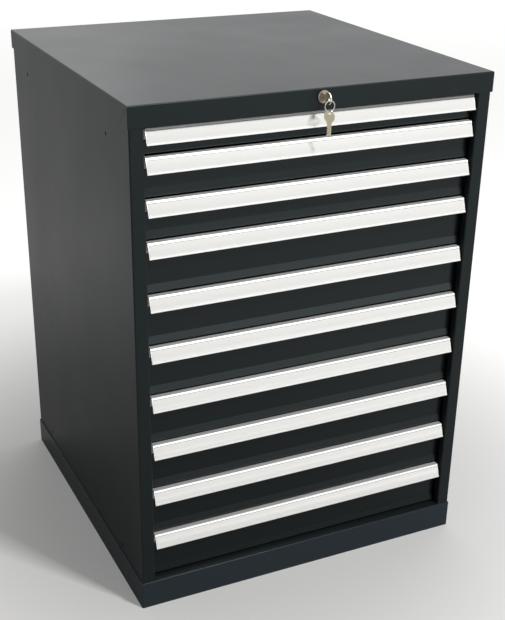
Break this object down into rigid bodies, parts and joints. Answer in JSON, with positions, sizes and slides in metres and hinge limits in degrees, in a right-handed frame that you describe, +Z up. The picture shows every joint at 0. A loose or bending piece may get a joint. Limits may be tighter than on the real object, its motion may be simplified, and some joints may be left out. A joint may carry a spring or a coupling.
{
  "type": "drawer tool cabinet",
  "caption": "Free-standing sheet-steel tool cabinet with full-width drawers on telescopic runners, a handle extrusion along each front and a central key lock.",
  "frame": {"origin": "bottom centre of the cabinet's bounding box, keys included, on the plane that the plinth stands on", "axes": "+Z up; the drawers open towards -Y; +X is on the right of someone facing the drawers"},
  "size_m": [0.717, 0.759, 1],
  "materials": {
    "cabinet_paint": "anthracite powder coat, fine orange peel",
    "inner_steel": "anthracite powder coat",
    "runner_zinc": "zinc plated",
    "tray_paint": "anthracite powder coat",
    "front_paint": "anthracite powder coat",
    "handle_aluminium": "pale anodised extrusion",
    "lock_nickel": "nickel plated",
    "key_nickel": "nickel silver",
    "ring_wire": "bright steel wire",
    "lock_linkage": "zinc plated"
  },
  "bodies": {
    "cabinet": {"top_cover": "cabinet_paint", "left_side": "cabinet_paint", "right_side": "cabinet_paint", "back_panel": "cabinet_paint", "base_floor": "cabinet_paint", "plinth": "cabinet_paint", "runner_uprights": "inner_steel", "cabinet_rails": "runner_zinc", "lock_column": "inner_steel", "bar_guides": "inner_steel", "rod_bracket": "inner_steel", "lock_housing": "lock_nickel", "lock_nut": "lock_nickel"},
    "drawer_01": {"drawer_01_tray": "tray_paint", "drawer_01_front": "front_paint", "drawer_01_handle": "handle_aluminium"},
    "drawer_01_rails": {"drawer_01_middle_rails": "runner_zinc"},
    "drawer_02": {"drawer_02_tray": "tray_paint", "drawer_02_front": "front_paint", "drawer_02_handle": "handle_aluminium"},
    "drawer_02_rails": {"drawer_02_middle_rails": "runner_zinc"},
    "drawer_03": {"drawer_03_tray": "tray_paint", "drawer_03_front": "front_paint", "drawer_03_handle": "handle_aluminium"},
    "drawer_03_rails": {"drawer_03_middle_rails": "runner_zinc"},
    "drawer_04": {"drawer_04_tray": "tray_paint", "drawer_04_front": "front_paint", "drawer_04_handle": "handle_aluminium"},
    "drawer_04_rails": {"drawer_04_middle_rails": "runner_zinc"},
    "drawer_05": {"drawer_05_tray": "tray_paint", "drawer_05_front": "front_paint", "drawer_05_handle": "handle_aluminium"},
    "drawer_05_rails": {"drawer_05_middle_rails": "runner_zinc"},
    "drawer_06": {"drawer_06_tray": "tray_paint", "drawer_06_front": "front_paint", "drawer_06_handle": "handle_aluminium"},
    "drawer_06_rails": {"drawer_06_middle_rails": "runner_zinc"},
    "drawer_07": {"drawer_07_tray": "tray_paint", "drawer_07_front": "front_paint", "drawer_07_handle": "handle_aluminium"},
    "drawer_07_rails": {"drawer_07_middle_rails": "runner_zinc"},
    "drawer_08": {"drawer_08_tray": "tray_paint", "drawer_08_front": "front_paint", "drawer_08_handle": "handle_aluminium"},
    "drawer_08_rails": {"drawer_08_middle_rails": "runner_zinc"},
    "drawer_09": {"drawer_09_tray": "tray_paint", "drawer_09_front": "front_paint", "drawer_09_handle": "handle_aluminium"},
    "drawer_09_rails": {"drawer_09_middle_rails": "runner_zinc"},
    "drawer_10": {"drawer_10_tray": "tray_paint", "drawer_10_front": "front_paint", "drawer_10_handle": "handle_aluminium"},
    "drawer_10_rails": {"drawer_10_middle_rails": "runner_zinc"},
    "lock": {"lock_plug": "lock_nickel", "key": "key_nickel", "lock_rod": "lock_linkage"},
    "locking_bar": {"locking_bar": "lock_linkage"},
    "keys_on_ring": {"key_ring": "ring_wire", "spare_key": "key_nickel"}
  },
  "joints": [
    {"name": "drawer_01_slide", "type": "slide", "parent": "cabinet", "child": "drawer_01", "axis": [0, -1, 0], "range_m": [0, 0.6]},
    {"name": "drawer_01_rails_slide", "type": "slide", "parent": "cabinet", "child": "drawer_01_rails", "axis": [0, -1, 0], "range_m": [0, 0.3]},
    {"name": "drawer_02_slide", "type": "slide", "parent": "cabinet", "child": "drawer_02", "axis": [0, -1, 0], "range_m": [0, 0.6]},
    {"name": "drawer_02_rails_slide", "type": "slide", "parent": "cabinet", "child": "drawer_02_rails", "axis": [0, -1, 0], "range_m": [0, 0.3]},
    {"name": "drawer_03_slide", "type": "slide", "parent": "cabinet", "child": "drawer_03", "axis": [0, -1, 0], "range_m": [0, 0.6]},
    {"name": "drawer_03_rails_slide", "type": "slide", "parent": "cabinet", "child": "drawer_03_rails", "axis": [0, -1, 0], "range_m": [0, 0.3]},
    {"name": "drawer_04_slide", "type": "slide", "parent": "cabinet", "child": "drawer_04", "axis": [0, -1, 0], "range_m": [0, 0.6]},
    {"name": "drawer_04_rails_slide", "type": "slide", "parent": "cabinet", "child": "drawer_04_rails", "axis": [0, -1, 0], "range_m": [0, 0.3]},
    {"name": "drawer_05_slide", "type": "slide", "parent": "cabinet", "child": "drawer_05", "axis": [0, -1, 0], "range_m": [0, 0.6]},
    {"name": "drawer_05_rails_slide", "type": "slide", "parent": "cabinet", "child": "drawer_05_rails", "axis": [0, -1, 0], "range_m": [0, 0.3]},
    {"name": "drawer_06_slide", "type": "slide", "parent": "cabinet", "child": "drawer_06", "axis": [0, -1, 0], "range_m": [0, 0.6]},
    {"name": "drawer_06_rails_slide", "type": "slide", "parent": "cabinet", "child": "drawer_06_rails", "axis": [0, -1, 0], "range_m": [0, 0.3]},
    {"name": "drawer_07_slide", "type": "slide", "parent": "cabinet", "child": "drawer_07", "axis": [0, -1, 0], "range_m": [0, 0.6]},
    {"name": "drawer_07_rails_slide", "type": "slide", "parent": "cabinet", "child": "drawer_07_rails", "axis": [0, -1, 0], "range_m": [0, 0.3]},
    {"name": "drawer_08_slide", "type": "slide", "parent": "cabinet", "child": "drawer_08", "axis": [0, -1, 0], "range_m": [0, 0.6]},
    {"name": "drawer_08_rails_slide", "type": "slide", "parent": "cabinet", "child": "drawer_08_rails", "axis": [0, -1, 0], "range_m": [0, 0.3]},
    {"name": "drawer_09_slide", "type": "slide", "parent": "cabinet", "child": "drawer_09", "axis": [0, -1, 0], "range_m": [0, 0.6]},
    {"name": "drawer_09_rails_slide", "type": "slide", "parent": "cabinet", "child": "drawer_09_rails", "axis": [0, -1, 0], "range_m": [0, 0.3]},
    {"name": "drawer_10_slide", "type": "slide", "parent": "cabinet", "child": "drawer_10", "axis": [0, -1, 0], "range_m": [0, 0.6]},
    {"name": "drawer_10_rails_slide", "type": "slide", "parent": "cabinet", "child": "drawer_10_rails", "axis": [0, -1, 0], "range_m": [0, 0.3]},
    {"name": "lock_turn", "type": "hinge", "parent": "cabinet", "child": "lock", "pos_m": [0, -0.34548, 0.9848], "axis": [0, 1, 0], "range_deg": [0, 90]},
    {"name": "locking_bar_lift", "type": "slide", "parent": "cabinet", "child": "locking_bar", "axis": [0, 0, 1], "range_m": [0, 0.01414]},
    {"name": "ring_hang", "type": "hinge", "parent": "lock", "child": "keys_on_ring", "pos_m": [0, -0.36988, 0.9848], "axis": [0, 1, 0], "range_deg": [-91, 1], "deforming": ["key_ring", "spare_key"]}
  ],
  "couplings": [
    {"joint": "drawer_01_rails_slide", "follows": "drawer_01_slide", "ratio": 0.5},
    {"joint": "drawer_02_rails_slide", "follows": "drawer_02_slide", "ratio": 0.5},
    {"joint": "drawer_03_rails_slide", "follows": "drawer_03_slide", "ratio": 0.5},
    {"joint": "drawer_04_rails_slide", "follows": "drawer_04_slide", "ratio": 0.5},
    {"joint": "drawer_05_rails_slide", "follows": "drawer_05_slide", "ratio": 0.5},
    {"joint": "drawer_06_rails_slide", "follows": "drawer_06_slide", "ratio": 0.5},
    {"joint": "drawer_07_rails_slide", "follows": "drawer_07_slide", "ratio": 0.5},
    {"joint": "drawer_08_rails_slide", "follows": "drawer_08_slide", "ratio": 0.5},
    {"joint": "drawer_09_rails_slide", "follows": "drawer_09_slide", "ratio": 0.5},
    {"joint": "drawer_10_rails_slide", "follows": "drawer_10_slide", "ratio": 0.5},
    {"joint": "lock_turn", "follows": "locking_bar_lift", "rad_per_m": 111.07},
    {"joint": "ring_hang", "follows": "locking_bar_lift", "rad_per_m": -111.07}
  ]
}
